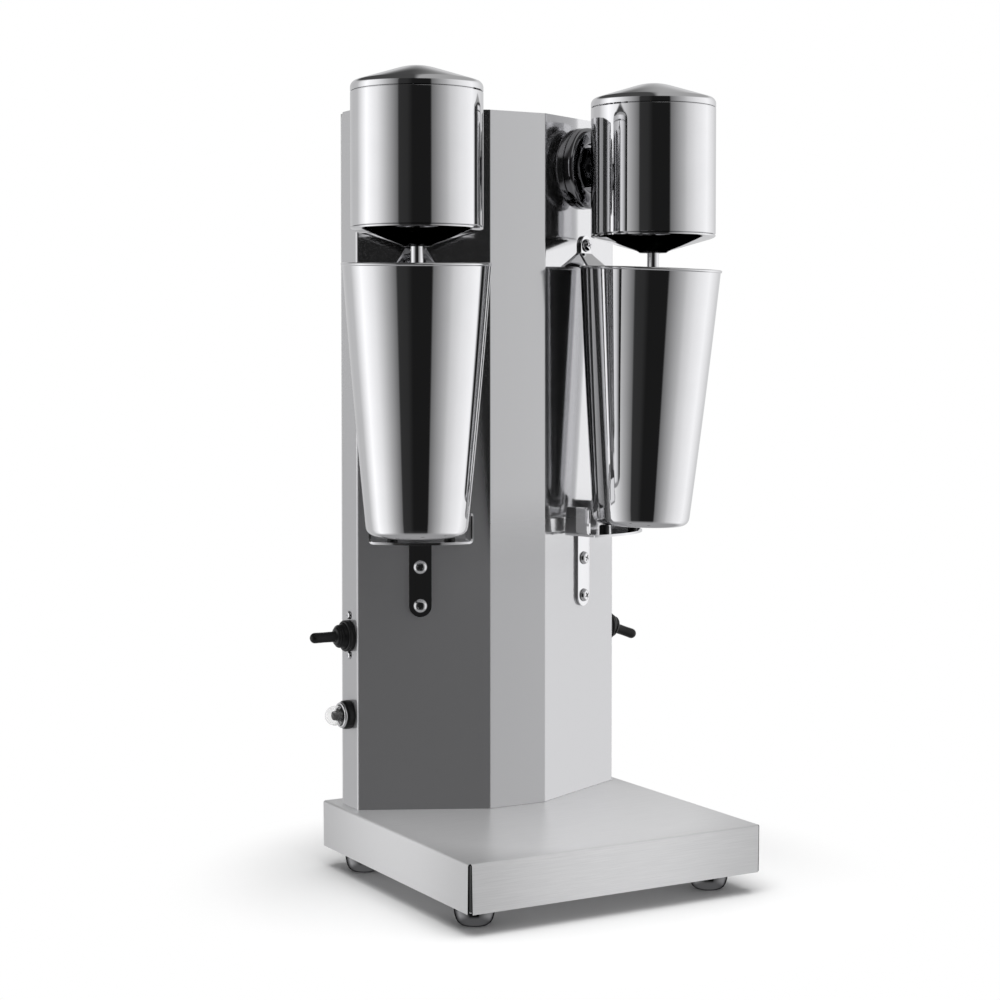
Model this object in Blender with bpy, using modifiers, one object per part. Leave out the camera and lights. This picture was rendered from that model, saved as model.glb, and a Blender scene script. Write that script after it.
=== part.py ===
"""Double-head milkshake mixer: a folded steel column on a flat base, with two motor heads,
two steel cups held on hooks and rests, two toggle switches and a reset button.

Metres, +Z up, origin on the table under the middle of the base, -Y to the front.
"""
from math import asin, atan2, cos, pi, radians, sin, sqrt, tan

import bmesh
import bpy
from mathutils import Matrix, Vector

GAP = 0.0003
SHEET = 0.0012

# Base: a shallow pan of folded sheet on four bell feet
BASE_WIDTH = 0.214
BASE_DEPTH = 0.207
BASE_BOTTOM = 0.014
BASE_TOP = 0.0445
BASE_FOLD = 0.0016
CORNER_SLIT = 0.0018
FOOT_INSET_SIDE = 0.020
FOOT_INSET_FRONT = 0.030
FOOT_INSET_REAR = 0.024
FOOT_RADIUS = 0.013

# Column: half an octagon in plan, open at the back
COLUMN_WIDTH = 0.200
COLUMN_TOP = 0.5075
COLUMN_FRONT_Y = 0.0236
MIDDLE_WIDTH = 0.0425
PANEL_DEPTH = 0.039
SIDE_DEPTH = 0.0243
BACK_FLANGE = 0.014
COLUMN_BOTTOM = BASE_TOP + GAP
SIDE_FRONT_Y = COLUMN_FRONT_Y + PANEL_DEPTH
COLUMN_BACK_Y = SIDE_FRONT_Y + SIDE_DEPTH
PANEL_ANGLE = atan2(PANEL_DEPTH, (COLUMN_WIDTH - MIDDLE_WIDTH) / 2)

# Head: motor housing on a threaded stub that stands square on the angled panel
UNIT_OFFSET = 0.0052
HEAD_REACH = 0.0545
HEAD_RADIUS = 0.042
HEAD_WALL = 0.0012
HEAD_BOTTOM = 0.4272
HEAD_TOP = 0.5117
CAP_APEX = 0.530
STUB_Z = 0.474
STUB_RADIUS = 0.010
STUB_BORE = 0.007
FLANGE_RADIUS = 0.0278
SPINDLE_RADIUS = 0.004
SPINDLE_BOTTOM = 0.2738
SPINDLE_TOP = 0.506
AGITATOR_RADIUS = 0.014

# Cup: tapered steel beaker that leans out at the top, held by its rim
CUP_REACH = 0.0526
CUP_RIM_Z = 0.4048
CUP_HEIGHT = 0.1732
CUP_RIM_RADIUS = 0.0482
CUP_MIDDLE_RADIUS = 0.0404
CUP_BOTTOM_RADIUS = 0.0324
CUP_CORNER = 0.005
CUP_WALL = 0.0008
CUP_LEAN = radians(2.4)

# Hook and rest: bent strips of thicker sheet, screwed to the panel
STRIP = 0.0016
HOOK_WIDTH = 0.0135
HOOK_BEND_Z = 0.4152
HOOK_SCREW_Z = 0.4215
HOOK_TAB_LENGTH = 0.0165
HOOK_TAB_WIDTH = 0.026
REST_WIDTH = 0.015
REST_SCREWS_Z = (0.2063, 0.1806)
REST_SHELF_Z = 0.224
REST_SHIFT = 0.0028
REST_SHELF_WIDTH = 0.0684
REST_FLARE = radians(8)
REST_SHELF_BACK = 0.005
REST_SHELF_SIDE = 0.029
REST_SHELF_FRONT = 0.0385
REST_EAR_TOP = 0.2437
REST_EAR_BACK = 0.0062
REST_EAR_FRONT = 0.0270
REST_STUD = (0.0185, 0.0295)
REST_STUD_RADIUS = 0.0034
SCREW_HEAD = 0.0045
SCREW_SHANK = 0.0019

# Switches and reset button on the narrow sides of the column
SIDE_MIDDLE_Y = SIDE_FRONT_Y + SIDE_DEPTH / 2
TOGGLE_Z = {"left": 0.1595, "right": 0.1537}
TOGGLE_PIVOT = 0.003
TOGGLE_BALL = 0.0086
TOGGLE_LEVER_RADIUS = 0.0033
TOGGLE_REACH = 0.0287
TOGGLE_THROW = radians(20)
RESET_Z = 0.1068

STEEL = (0.72, 0.72, 0.73)
BRUSHED = (0.60, 0.60, 0.61)
BLACK = (0.012, 0.012, 0.013)


def fresh_collections():
    for item in list(bpy.data.objects):
        bpy.data.objects.remove(item, do_unlink=True)
    made = []
    for name in ("milkshake_mixer", "cutters"):
        group = bpy.data.collections.new(name)
        bpy.context.scene.collection.children.link(group)
        made.append(group)
    return made


PARTS, CUTTERS = fresh_collections()


def finish(name, colour, roughness, metallic, alpha=1.0):
    material = bpy.data.materials.new(name)
    material.use_nodes = True
    shader = material.node_tree.nodes["Principled BSDF"]
    shader.inputs["Base Color"].default_value = (*colour, 1.0)
    shader.inputs["Roughness"].default_value = roughness
    shader.inputs["Metallic"].default_value = metallic
    shader.inputs["Transmission Weight"].default_value = 1.0 - alpha
    return material


def add(name, mesh, colour=STEEL, roughness=0.12, metallic=1.0, alpha=1.0, parent=None,
        place=(0, 0, 0), turn=(0, 0, 0)):
    """Put a mesh into the model as one named sub-part."""
    mesh.name = name
    mesh.materials.clear()
    mesh.materials.append(finish(name + "_finish", colour, roughness, metallic, alpha))
    item = bpy.data.objects.new(name, mesh)
    PARTS.objects.link(item)
    item.parent = parent
    item.location = place
    item.rotation_euler = turn
    return item


def empty(name, place, turn=(0, 0, 0)):
    item = bpy.data.objects.new(name, None)
    PARTS.objects.link(item)
    item.location = place
    item.rotation_euler = turn
    return item


def evaluated_mesh(item):
    """The mesh that an object's modifiers or curve give, with the object removed."""
    graph = bpy.context.evaluated_depsgraph_get()
    mesh = bpy.data.meshes.new_from_object(item.evaluated_get(graph))
    bpy.data.objects.remove(item, do_unlink=True)
    work = bmesh.new()
    work.from_mesh(mesh)
    bmesh.ops.remove_doubles(work, verts=work.verts, dist=0.00001)
    work.to_mesh(mesh)
    work.free()
    return mesh


def turned(profile, steps, ring=False):
    """A profile of (radius, height), outer side running down, turned round Z."""
    mesh = bpy.data.meshes.new("profile")
    pairs = [(i, i + 1) for i in range(len(profile) - 1)]
    if ring:
        pairs.append((len(profile) - 1, 0))
    mesh.from_pydata([(r, 0, z) for r, z in profile], pairs, [])
    item = bpy.data.objects.new("profile", mesh)
    CUTTERS.objects.link(item)
    screw = item.modifiers.new("turn", "SCREW")
    screw.steps = steps
    screw.render_steps = steps
    screw.use_merge_vertices = True
    screw.merge_threshold = 0.00001
    bpy.context.view_layer.update()
    result = evaluated_mesh(item)
    result.shade_smooth()
    result.set_sharp_from_angle(angle=radians(35))
    return result


def tube_profile(inner, outer, low, high):
    return [(outer, high), (outer, low), (inner, low), (inner, high)]


def rod_profile(radius, low, high):
    return [(0, high), (radius, high), (radius, low), (0, low)]


def arc(centre, radius, start, stop, count):
    steps = [start + (stop - start) * i / (count - 1) for i in range(count)]
    return [(centre[0] + radius * cos(a), centre[1] + radius * sin(a)) for a in steps]


def plate(outline, thickness):
    """A flat outline as a filled 2D curve, its thickness centred on Z = 0."""
    curve = bpy.data.curves.new("outline", "CURVE")
    curve.dimensions = "2D"
    curve.fill_mode = "BOTH"
    curve.extrude = thickness / 2
    spline = curve.splines.new("POLY")
    spline.points.add(len(outline) - 1)
    for point, (x, y) in zip(spline.points, outline):
        point.co = (x, y, 0, 1)
    spline.use_cyclic_u = True
    item = bpy.data.objects.new("outline", curve)
    CUTTERS.objects.link(item)
    bpy.context.view_layer.update()
    return evaluated_mesh(item)


def box(size, centre=(0, 0, 0)):
    mesh = bpy.data.meshes.new("box")
    work = bmesh.new()
    bmesh.ops.create_cube(work, size=1.0)
    bmesh.ops.scale(work, vec=Vector(size), verts=work.verts)
    bmesh.ops.translate(work, vec=Vector(centre), verts=work.verts)
    work.to_mesh(mesh)
    work.free()
    return mesh


def cutter(mesh, parent=None, place=(0, 0, 0), turn=(0, 0, 0)):
    item = bpy.data.objects.new("cutter", mesh)
    CUTTERS.objects.link(item)
    item.parent = parent
    item.location = place
    item.rotation_euler = turn
    item.hide_render = True
    item.display_type = "WIRE"
    return item


def combine(target, other, operation="DIFFERENCE"):
    step = target.modifiers.new(operation.lower(), "BOOLEAN")
    step.operation = operation
    step.object = other


OUTWARD = (radians(90), 0, 0)


def base():
    """Folded pan with open corners, a closing plate and four bell feet."""
    mesh = box((BASE_WIDTH, BASE_DEPTH, BASE_TOP - BASE_BOTTOM), (0, 0, (BASE_TOP + BASE_BOTTOM) / 2))
    work = bmesh.new()
    work.from_mesh(mesh)
    under = [face for face in work.faces if face.normal.z < -0.9]
    bmesh.ops.delete(work, geom=under, context="FACES_ONLY")
    fold = [edge for edge in work.edges if all(vert.co.z > BASE_TOP - GAP for vert in edge.verts)]
    bmesh.ops.bevel(work, geom=fold, offset=BASE_FOLD, segments=2, profile=0.5, affect="EDGES")
    work.to_mesh(mesh)
    work.free()
    pan = add("base_pan", mesh, BRUSHED, 0.28)
    wall = pan.modifiers.new("sheet", "SOLIDIFY")
    wall.thickness = SHEET
    wall.offset = -1
    for x_side in (-1, 1):
        for y_side in (-1, 1):
            slit = box((CORNER_SLIT, 0.012, BASE_TOP - BASE_BOTTOM - 2 * BASE_FOLD))
            place = (x_side * BASE_WIDTH / 2, y_side * BASE_DEPTH / 2,
                     (BASE_TOP + BASE_BOTTOM) / 2 - 2 * BASE_FOLD)
            combine(pan, cutter(slit, place=place, turn=(0, 0, -x_side * y_side * radians(45))))
    inner = 2 * (SHEET + GAP)
    add("base_bottom_plate", box((BASE_WIDTH - inner, BASE_DEPTH - inner, SHEET),
                                 (0, 0, BASE_BOTTOM + GAP + SHEET)), BRUSHED, 0.35)
    top = BASE_BOTTOM + SHEET / 2
    bell = [(0, top), (FOOT_RADIUS, top), (FOOT_RADIUS, top - 0.003), (FOOT_RADIUS - 0.0006, 0.0062),
            (FOOT_RADIUS - 0.0016, 0.0024), (FOOT_RADIUS - 0.0036, 0.0004), (FOOT_RADIUS - 0.005, 0), (0, 0)]
    rows = (("front", -BASE_DEPTH / 2 + FOOT_INSET_FRONT), ("rear", BASE_DEPTH / 2 - FOOT_INSET_REAR))
    for y_name, y_place in rows:
        for x_name, x_side in (("left", -1), ("right", 1)):
            add(f"foot_{y_name}_{x_name}", turned(bell, 18), (0.35, 0.35, 0.36), 0.15,
                place=(x_side * (BASE_WIDTH / 2 - FOOT_INSET_SIDE), y_place, 0))


def column_plan(inset=0.0):
    """Plan of the column from the left back corner round the front to the right back corner."""
    lean = tan((pi / 2 - PANEL_ANGLE) / 2)
    spread = tan(PANEL_ANGLE / 2)
    half = COLUMN_WIDTH / 2 - inset
    right = [(MIDDLE_WIDTH / 2 - inset * spread, COLUMN_FRONT_Y + inset),
             (half, SIDE_FRONT_Y + inset * lean), (half, COLUMN_BACK_Y - inset)]
    return [(-x, y) for x, y in reversed(right)] + right


def column():
    """Bent front shell, top lid, back cover and the gland for the mains lead."""
    corners = column_plan()
    flange_left = (corners[0][0] + BACK_FLANGE, corners[0][1])
    flange_right = (corners[-1][0] - BACK_FLANGE, corners[-1][1])
    plan = [flange_left, *corners, flange_right]
    low = [(x, y, COLUMN_BOTTOM) for x, y in plan]
    high = [(x, y, COLUMN_TOP) for x, y in plan]
    count = len(plan)
    faces = [(i, i + 1, count + i + 1, count + i) for i in range(count - 1)]
    mesh = bpy.data.meshes.new("shell")
    mesh.from_pydata(low + high, [], faces)
    shell = add("column_front_shell", mesh, STEEL, 0.10)
    wall = shell.modifiers.new("sheet", "SOLIDIFY")
    wall.thickness = SHEET
    wall.offset = -1
    wall.use_even_offset = True
    lid = plate(column_plan(SHEET + GAP), SHEET)
    add("column_top_cap", lid, STEEL, 0.15, place=(0, 0, COLUMN_TOP - SHEET / 2 - GAP))
    middle = (COLUMN_BOTTOM + COLUMN_TOP) / 2
    cover = add("column_back_cover", box((COLUMN_WIDTH - 0.002, SHEET, COLUMN_TOP - COLUMN_BOTTOM - 0.002)),
                BRUSHED, 0.3, place=(0, COLUMN_BACK_Y + GAP + SHEET / 2, middle))
    collar = [(0.0085, 0.0022), (0.0085, 0), (0.006, 0), (0.006, -0.012), (0.0036, -0.012),
              (0.0036, 0.011), (0.0054, 0.011), (0.0064, 0.0022)]
    seat = COLUMN_BACK_Y + SHEET + 2 * GAP
    backward = (radians(-90), 0, 0)
    add("cable_gland", turned(collar, 16, ring=True), BLACK, 0.5, 0.0,
        place=(0, seat, COLUMN_BOTTOM + 0.032), turn=backward)
    combine(cover, cutter(turned(rod_profile(0.0064, -0.01, 0.01), 16),
                          place=(0, seat, COLUMN_BOTTOM + 0.032), turn=backward))
    return shell


def head(side, unit, shell):
    """One motor head on its stub, with the motor inside and the spindle below."""
    axis = (0, -HEAD_REACH, 0)
    stub_place = (0, 0, STUB_Z)
    ring_top = 0.0075
    flange = [(0.0175, ring_top), (0.0245, ring_top), (FLANGE_RADIUS - 0.0008, 0.0062),
              (FLANGE_RADIUS, 0.004), (FLANGE_RADIUS, GAP), (STUB_RADIUS + 0.0006, GAP),
              (STUB_RADIUS + 0.0006, 0.0035), (0.0165, 0.0035), (0.0165, ring_top - 0.001)]
    add(f"head_flange_{side}", turned(flange, 24, ring=True), STEEL, 0.08, parent=unit,
        place=stub_place, turn=OUTWARD)
    add(f"head_stub_{side}", turned(tube_profile(STUB_BORE, STUB_RADIUS, -0.010, 0.0139), 20, ring=True),
        STEEL, 0.2, parent=unit, place=stub_place, turn=OUTWARD)
    bore = turned(rod_profile(STUB_RADIUS + 0.0004, -0.02, 0.03), 20)
    passage = cutter(bore, parent=unit, place=stub_place, turn=OUTWARD)
    nut = plate(arc((0, 0), 0.0155, 0, 5 * pi / 3, 6), 0.006)
    nut.transform(Matrix.Translation((0, 0, 0.0068)))
    combine(add(f"head_nut_{side}", nut, STEEL, 0.12, parent=unit, place=stub_place, turn=OUTWARD), passage)
    combine(shell, passage)

    housing = add(f"motor_housing_{side}",
                  turned(tube_profile(HEAD_RADIUS - HEAD_WALL, HEAD_RADIUS, HEAD_BOTTOM, HEAD_TOP), 32, ring=True),
                  STEEL, 0.05, parent=unit, place=axis)
    combine(housing, passage)
    skirt = HEAD_TOP + GAP
    shoulder = 0.0038
    rise = 0.36
    crown = CAP_APEX - 0.0013
    slope_top = 0.010
    slope_low = HEAD_RADIUS - shoulder * 0.75
    outer = [(0, CAP_APEX), (0.0055, CAP_APEX - 0.0004), (slope_top, crown),
             (slope_low, crown - rise * (slope_low - slope_top)),
             (HEAD_RADIUS - shoulder * 0.25, skirt + shoulder * 1.25), (HEAD_RADIUS, skirt + shoulder * 0.6),
             (HEAD_RADIUS, skirt)]
    inner = [(r * (1 - HEAD_WALL / HEAD_RADIUS), z - HEAD_WALL) for r, z in outer[:-2]]
    inner_wall = HEAD_RADIUS - HEAD_WALL
    profile = outer + [(inner_wall, skirt), (inner_wall, skirt + shoulder * 0.5)] + inner[::-1][1:]
    add(f"motor_cap_{side}", turned(profile, 28), STEEL, 0.06, parent=unit, place=axis)
    floor = HEAD_BOTTOM - GAP
    tip = floor - 0.0121
    funnel = [(HEAD_RADIUS, floor), (HEAD_RADIUS, floor - 0.0008), (HEAD_RADIUS - 0.0026, floor - 0.0026),
              (0.0098, tip + 0.0018), (0.0086, tip), (SPINDLE_RADIUS + 0.0006, tip),
              (SPINDLE_RADIUS + 0.0006, tip + 0.0027), (0.0084, tip + 0.0027), (0.0084, tip + 0.0038),
              (HEAD_RADIUS - 0.0036, floor - 0.001), (HEAD_RADIUS - 0.002, floor)]
    add(f"motor_base_{side}", turned(funnel, 28, ring=True), STEEL, 0.08, parent=unit, place=axis)

    add(f"motor_field_{side}", turned(tube_profile(0.0235, HEAD_RADIUS - 0.0025, 0.440, 0.490), 20, ring=True),
        (0.25, 0.25, 0.26), 0.5, parent=unit, place=axis)
    bush = (SPINDLE_RADIUS + GAP, 0.0080)
    add(f"lower_bearing_{side}", turned(tube_profile(*bush, tip + 0.0030, tip + 0.009), 16, ring=True),
        (0.55, 0.40, 0.20), 0.3, parent=unit, place=axis)
    add(f"upper_bearing_{side}", turned(tube_profile(*bush, 0.4975, 0.5035), 16, ring=True),
        (0.55, 0.40, 0.20), 0.3, parent=unit, place=axis)
    add(f"motor_end_plate_{side}",
        turned(tube_profile(0.0083, HEAD_RADIUS - 0.0015, 0.4985, 0.5005), 20, ring=True),
        (0.5, 0.5, 0.5), 0.4, parent=unit, place=axis)
    add(f"armature_{side}", turned(tube_profile(SPINDLE_RADIUS + GAP, 0.0225, 0.445, 0.485), 20, ring=True),
        (0.45, 0.20, 0.09), 0.4, parent=unit, place=axis)
    add(f"spindle_{side}", turned(rod_profile(SPINDLE_RADIUS, SPINDLE_BOTTOM, SPINDLE_TOP), 16), STEEL, 0.1,
        parent=unit, place=axis)
    hub_top = SPINDLE_BOTTOM - GAP
    disc = [(0, hub_top), (0.0055, hub_top), (0.0062, hub_top - 0.006), (0.009, hub_top - 0.0072),
            (AGITATOR_RADIUS, hub_top - 0.0072), (AGITATOR_RADIUS, hub_top - 0.0096),
            (0.009, hub_top - 0.0096), (0.005, hub_top - 0.0115), (0, hub_top - 0.0115)]
    blade = turned(disc, 24)
    waves = 3
    swell = 0.0014
    for vert in blade.vertices:
        reach = max(0.0, sqrt(vert.co.x ** 2 + vert.co.y ** 2) - 0.0062) / (AGITATOR_RADIUS - 0.0062)
        vert.co.z += swell * reach * sin(waves * atan2(vert.co.y, vert.co.x))
    add(f"agitator_{side}", blade, (0.62, 0.62, 0.63), 0.2, parent=unit, place=axis)


def cup(side, unit):
    """Tapered cup with a rolled rim, its origin on the line where it swings on the hook."""
    low = -CUP_HEIGHT
    middle = low / 2
    corner = arc((CUP_BOTTOM_RADIUS - CUP_CORNER, low + CUP_CORNER), CUP_CORNER, 0, -pi / 2, 4)
    bead = 0.0008
    wall_top = CUP_RIM_RADIUS - bead
    outer = [(wall_top - CUP_WALL * 0.8, 0), (CUP_RIM_RADIUS - 0.0003, -0.0002), (CUP_RIM_RADIUS, -0.0010),
             (wall_top, -0.0019), (CUP_MIDDLE_RADIUS, middle), *corner, (0, low)]
    inner = [(0, low + CUP_WALL), (CUP_BOTTOM_RADIUS - CUP_CORNER, low + CUP_WALL),
             (CUP_BOTTOM_RADIUS - CUP_WALL - 0.0013, low + 0.0022),
             (CUP_BOTTOM_RADIUS - CUP_WALL, low + CUP_CORNER), (CUP_MIDDLE_RADIUS - CUP_WALL, middle),
             (wall_top - CUP_WALL, -0.0019)]
    mesh = turned(inner + outer, 30)
    pivot = Vector((0, -CUP_REACH + CUP_RIM_RADIUS * cos(CUP_LEAN), CUP_RIM_Z + CUP_RIM_RADIUS * sin(CUP_LEAN)))
    mesh.transform(Matrix.Translation((0, -CUP_RIM_RADIUS, 0)))
    add(f"cup_{side}", mesh, STEEL, 0.06, parent=unit, place=pivot, turn=(CUP_LEAN, 0, 0))


def screw(name, unit, height):
    """Pan-head screw through a strip and the panel, with the hole it needs in both."""
    seat = STRIP + 2 * GAP
    profile = [(0, seat + 0.0024), (0.0022, seat + 0.0021), (0.0038, seat + 0.0013), (SCREW_HEAD, seat),
               (SCREW_SHANK, seat), (SCREW_SHANK, -0.004), (0, -0.004)]
    add(name, turned(profile, 12), STEEL, 0.1, parent=unit, place=(0, 0, height), turn=OUTWARD)
    return cutter(turned(rod_profile(SCREW_SHANK + 0.0004, -0.006, 0.006), 12), parent=unit,
                  place=(0, 0, height), turn=OUTWARD)


def hook(side, unit, shell):
    """Upper strip whose flared tab stands inside the cup's rim."""
    half = HOOK_WIDTH / 2
    strap = [(-half, HOOK_BEND_Z), (half, HOOK_BEND_Z), *arc((0, HOOK_SCREW_Z), half, 0, pi, 9)]
    item = add(f"cup_hook_{side}", plate(strap, STRIP), STEEL, 0.1, parent=unit,
               place=(0, -GAP - STRIP / 2, 0), turn=OUTWARD)
    flare = HOOK_TAB_WIDTH / 2
    tab = [(-half, 0.0), (-flare, -HOOK_TAB_LENGTH + 0.003), (-flare + 0.003, -HOOK_TAB_LENGTH),
           (flare - 0.003, -HOOK_TAB_LENGTH), (flare, -HOOK_TAB_LENGTH + 0.003), (half, 0.0)]
    bend = (radians(90 - 45), 0, 0)
    overlap = STRIP * 0.3
    combine(item, cutter(plate(tab, STRIP), parent=unit, place=(0, -GAP - STRIP / 2, HOOK_BEND_Z + overlap),
                         turn=bend), "UNION")
    hole = screw(f"hook_screw_{side}", unit, HOOK_SCREW_Z)
    combine(item, hole)
    combine(shell, hole)


def rest(side, unit, shell):
    """Lower strip bent out to a shelf with upturned ears and two studs under the cup."""
    half = REST_WIDTH / 2
    low = REST_SCREWS_Z[1]
    strap = [(half, REST_SHELF_Z + STRIP / 2), (-half, REST_SHELF_Z + STRIP / 2),
             *arc((0, low), half, -pi, 0, 9)]
    item = add(f"cup_rest_{side}", plate(strap, STRIP), STEEL, 0.1, parent=unit,
               place=(0, -GAP - STRIP / 2, 0), turn=OUTWARD)
    wide = REST_SHELF_WIDTH / 2
    bow = REST_SHELF_FRONT - REST_SHELF_SIDE
    radius = (wide ** 2 + bow ** 2) / (2 * bow)
    sweep = asin(wide / radius)
    front = arc((0, -(REST_SHELF_FRONT - radius)), radius, -pi / 2 - sweep, -pi / 2 + sweep, 9)
    tongue = GAP + STRIP / 2
    narrow = wide - (REST_SHELF_SIDE - REST_SHELF_BACK) * tan(REST_FLARE)
    shelf = [*front, (narrow, -REST_SHELF_BACK), (half, -REST_SHELF_BACK), (half, -tongue),
             (-half, -tongue), (-half, -REST_SHELF_BACK), (-narrow, -REST_SHELF_BACK)]
    combine(item, cutter(plate(shelf, STRIP), parent=unit, place=(0, 0, REST_SHELF_Z + STRIP / 2)), "UNION")
    length = (REST_EAR_FRONT - REST_EAR_BACK) / cos(REST_FLARE)
    ear = [(0, REST_SHELF_Z + STRIP / 4), (-length, REST_SHELF_Z + STRIP / 4), (-length, REST_EAR_TOP - 0.0025),
           (-length + 0.0025, REST_EAR_TOP), (-0.0015, REST_EAR_TOP)]
    sideways = Matrix.Rotation(radians(90), 4, "Z") @ Matrix.Rotation(radians(90), 4, "X")
    hinge = narrow + (REST_EAR_BACK - REST_SHELF_BACK) * tan(REST_FLARE) - (STRIP / 2 + 0.0001) / cos(REST_FLARE)
    for hand in (-1, 1):
        wing = plate(ear, STRIP)
        wing.transform(sideways)
        combine(item, cutter(wing, parent=unit, place=(hand * hinge, -REST_EAR_BACK, 0),
                             turn=(0, 0, hand * REST_FLARE)), "UNION")
        rise = CUP_RIM_Z - CUP_HEIGHT * cos(CUP_LEAN)
        foot_reach = CUP_REACH - CUP_HEIGHT * sin(CUP_LEAN)
        top = rise + (foot_reach - REST_STUD[1]) * tan(CUP_LEAN) - 0.0005
        stud = [(0, top), (REST_STUD_RADIUS * 0.6, top - 0.0002), (REST_STUD_RADIUS, top - 0.0012),
                (REST_STUD_RADIUS, REST_SHELF_Z + STRIP / 2), (0, REST_SHELF_Z + STRIP / 2)]
        combine(item, cutter(turned(stud, 10), parent=unit, place=(hand * REST_STUD[0], -REST_STUD[1], 0)), "UNION")
    for name, height in zip(("upper", "lower"), REST_SCREWS_Z):
        hole = screw(f"rest_screw_{name}_{side}", unit, height)
        combine(item, hole)
        combine(shell, hole)


def toggle(side, hand, shell, rest_angle):
    """Toggle switch: body inside the column, collar outside, ball-ended lever between."""
    outward = (0, hand * radians(90), 0)
    frame = empty(f"toggle_frame_{side}", (hand * COLUMN_WIDTH / 2, SIDE_MIDDLE_Y, TOGGLE_Z[side]), outward)
    body = add(f"switch_body_{side}", box((0.028, 0.016, 0.020), (0, 0, -SHEET - GAP - 0.010)), (0.02, 0.02, 0.02),
               0.5, 0.0, parent=frame)
    bush_top = 0.0002
    combine(body, cutter(turned(rod_profile(0.0058, -0.006, bush_top), 16), parent=frame), "UNION")
    combine(shell, cutter(turned(rod_profile(0.0062, -0.004, 0.004), 16), parent=frame))
    collar = [(0.0096, 0.0052), (0.0104, 0.0044), (0.0104, GAP), (TOGGLE_BALL + GAP, GAP),
              (TOGGLE_BALL + GAP, 0.0052)]
    add(f"switch_collar_{side}", turned(collar, 24, ring=True), BLACK, 0.45, 0.0, parent=frame)
    edge = radians(8)
    dome = arc((0, 0), TOGGLE_BALL, radians(66), edge, 6)
    tip = TOGGLE_REACH - TOGGLE_PIVOT
    end = arc((0, tip - TOGGLE_LEVER_RADIUS), TOGGLE_LEVER_RADIUS, pi / 2, 0, 4)
    profile = [*end, (TOGGLE_LEVER_RADIUS - 0.0004, TOGGLE_BALL * 1.05), *dome, (0, TOGGLE_BALL * sin(edge))]
    pivot = (hand * (COLUMN_WIDTH / 2 + TOGGLE_PIVOT), SIDE_MIDDLE_Y, TOGGLE_Z[side])
    add(f"toggle_lever_{side}", turned(profile, 20), BLACK, 0.4, 0.0, place=pivot,
        turn=(0, hand * (radians(90) + rest_angle), 0))


def reset(shell):
    """Push-to-reset breaker on the left side, under a clear cap."""
    frame = empty("reset_frame", (-COLUMN_WIDTH / 2, SIDE_MIDDLE_Y, RESET_Z), (0, radians(-90), 0))
    body = add("reset_body", box((0.024, 0.014, 0.026), (0, 0, -SHEET - GAP - 0.013)), (0.03, 0.03, 0.03), 0.5, 0.0,
               parent=frame)
    combine(body, cutter(turned(rod_profile(0.0056, -0.006, 0.0002), 16), parent=frame), "UNION")
    combine(shell, cutter(turned(rod_profile(0.0060, -0.004, 0.004), 16), parent=frame))
    collar = [(0.0088, 0.0052), (0.0096, 0.0044), (0.0096, GAP), (0.0048, GAP), (0.0048, 0.0052)]
    add("reset_collar", turned(collar, 24, ring=True), BLACK, 0.4, 0.0, parent=frame)
    bezel = [(0.0078, 0.0074), (0.0086, 0.0066), (0.0086, 0.0055), (0.0069, 0.0055), (0.0069, 0.0074)]
    add("reset_bezel", turned(bezel, 24, ring=True), STEEL, 0.12, parent=frame)
    shell_in, shell_out = 0.0057, 0.0065
    base_z, spring_z = 0.0055, 0.0110
    outer = arc((0, spring_z), shell_out, pi / 2, 0, 7) + [(shell_out, base_z)]
    inner = [(shell_in, base_z)] + arc((0, spring_z), shell_in, 0, pi / 2, 7)
    add("reset_cap", turned(outer + inner, 20), (0.9, 0.9, 0.9), 0.05, 0.0, alpha=0.1, parent=frame)
    button = [(0, 0.0125), (0.0024, 0.0125), (0.0030, 0.0119), (0.0042, 0.0055), (0.0042, 0.0036), (0, 0.0036)]
    add("reset_button", turned(button, 16), (0.05, 0.05, 0.055), 0.35, 0.0, parent=frame)


def panel_frame(name, hand, offset):
    """Frame on an angled panel, turned with it, at a distance outwards from the panel's middle."""
    along = (COLUMN_WIDTH + MIDDLE_WIDTH) / 4
    place = (hand * (along + offset * cos(PANEL_ANGLE)),
             COLUMN_FRONT_Y + PANEL_DEPTH / 2 + offset * sin(PANEL_ANGLE), 0)
    return empty(name, place, (0, 0, hand * PANEL_ANGLE))


def build():
    base()
    shell = column()
    for side, hand in (("left", -1), ("right", 1)):
        unit = panel_frame(f"unit_frame_{side}", hand, UNIT_OFFSET)
        head(side, unit, shell)
        hook(side, unit, shell)
        rest(side, panel_frame(f"rest_frame_{side}", hand, UNIT_OFFSET - REST_SHIFT), shell)
        cup(side, unit)
    toggle("left", -1, shell, 0.0)
    toggle("right", 1, shell, TOGGLE_THROW)
    reset(shell)


build()
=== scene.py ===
from math import cos, pi, radians, sin, sqrt, tan

import bmesh
import bpy
from mathutils import Matrix, Vector


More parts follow.
